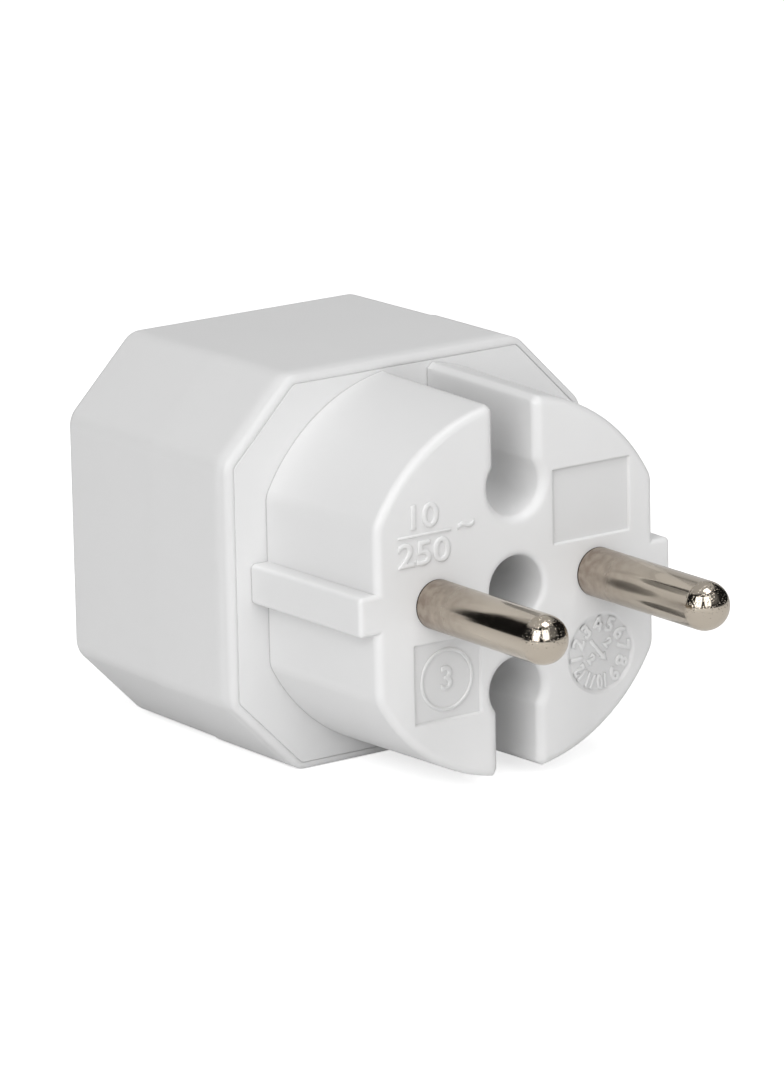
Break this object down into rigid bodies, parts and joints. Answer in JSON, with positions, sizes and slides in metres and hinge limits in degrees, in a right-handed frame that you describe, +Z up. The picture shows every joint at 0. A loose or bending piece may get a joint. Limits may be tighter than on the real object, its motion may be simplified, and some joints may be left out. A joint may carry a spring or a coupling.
{
  "type": "plug adapter",
  "caption": "White mains adapter: contour plug with round pins on an octagonal housing, with flat sockets stacked in its back.",
  "frame": {"origin": "centre of the bounding box at its base: on the surface that the housing stands on, midway between the pins and midway between the pin tips and the back of the housing", "axes": "+X across the pins, to the right as one faces the plug; -Y the way the pins point, +Y out of the socket recesses; +Z up"},
  "size_m": [0.0424, 0.0644, 0.039],
  "materials": {
    "housing_plastic": "moulded white ABS with a fine satin texture",
    "plug_plastic": "moulded white ABS, satin",
    "pin_nickel": "nickel-plated brass, drawn lengthwise, domed end polished",
    "washer_brass": "stamped, plain",
    "bar_brass": "stamped strip, plain",
    "contact_brass": "stamped and folded strip, plain",
    "rivet_brass": "turned, plain",
    "spring_steel": "bent spring strip, bright",
    "screw_steel": "zinc-plated"
  },
  "bodies": {
    "root": {"housing": "housing_plastic", "plug_base": "plug_plastic", "assembly_screw": "screw_steel", "plug_pin_left": "pin_nickel", "pin_washer_left": "washer_brass", "bus_bar_left": "bar_brass", "socket_contact_upper_left": "contact_brass", "contact_rivet_upper_left": "rivet_brass", "contact_spring_upper_left": "spring_steel", "socket_contact_lower_left": "contact_brass", "contact_rivet_lower_left": "rivet_brass", "contact_spring_lower_left": "spring_steel", "plug_pin_right": "pin_nickel", "pin_washer_right": "washer_brass", "bus_bar_right": "bar_brass", "socket_contact_upper_right": "contact_brass", "contact_rivet_upper_right": "rivet_brass", "contact_spring_upper_right": "spring_steel", "socket_contact_lower_right": "contact_brass", "contact_rivet_lower_right": "rivet_brass", "contact_spring_lower_right": "spring_steel"}
  },
  "joints": []
}
